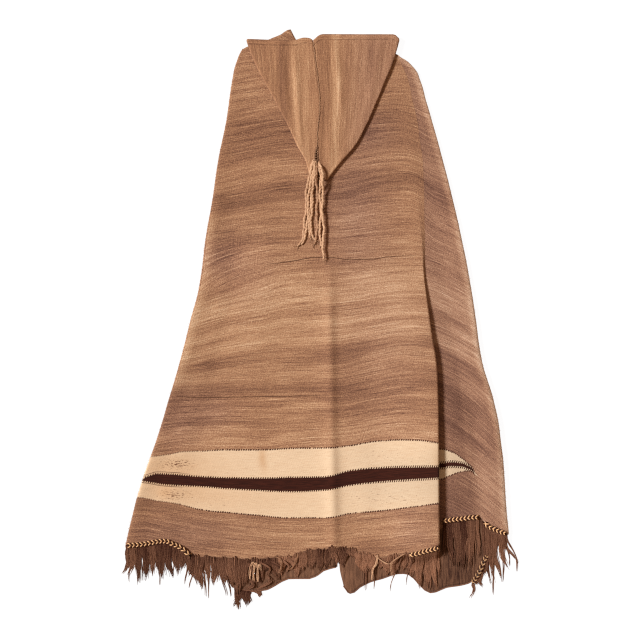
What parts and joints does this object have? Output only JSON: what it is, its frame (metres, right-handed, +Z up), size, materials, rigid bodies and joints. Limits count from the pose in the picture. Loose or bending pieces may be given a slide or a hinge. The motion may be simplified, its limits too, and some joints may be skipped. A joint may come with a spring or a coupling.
{
  "type": "burnous hooded cloak",
  "caption": "Handwoven wool hooded cloak laid flat with its back up: hood with tassel, striped bands, corded and fringed hem.",
  "frame": {"origin": "middle of the outline, on the surface the cloak lies on", "axes": "+Y towards the neck and hood, +Z up from the surface out of the garment's back, +X to the right seen from above"},
  "size_m": [0.9992, 1.4835, 0.0305],
  "materials": {
    "body_wool": "weft-faced tan and brown wool with uneven natural stripes, cream and dark brown bands near the hem, matt",
    "hood_wool": "tan wool with the stripes running down the hood, matt",
    "tassel_yarn": "plied tan wool yarn, slightly fuzzy",
    "cord_yarn": "chevron twined cord of dark brown and orange-tan wool",
    "fringe_wool": "matted dark brown wool warp ends"
  },
  "bodies": {
    "root": {"cloak_body": "body_wool", "hood": "hood_wool", "hood_tassel": "tassel_yarn", "hem_cord_back_left": "cord_yarn", "hem_cord_back_right": "cord_yarn", "hem_cord_side_left": "cord_yarn", "hem_cord_side_right": "cord_yarn", "hem_cord_front_right": "cord_yarn", "fringe_back_left": "fringe_wool", "fringe_back_centre_1": "fringe_wool", "fringe_back_centre_2": "fringe_wool", "fringe_back_centre_3": "fringe_wool", "fringe_back_centre_4": "fringe_wool", "fringe_back_right": "fringe_wool", "fringe_side_left": "fringe_wool", "fringe_side_right": "fringe_wool", "fringe_front_left": "fringe_wool", "fringe_front_right": "fringe_wool"}
  },
  "joints": []
}
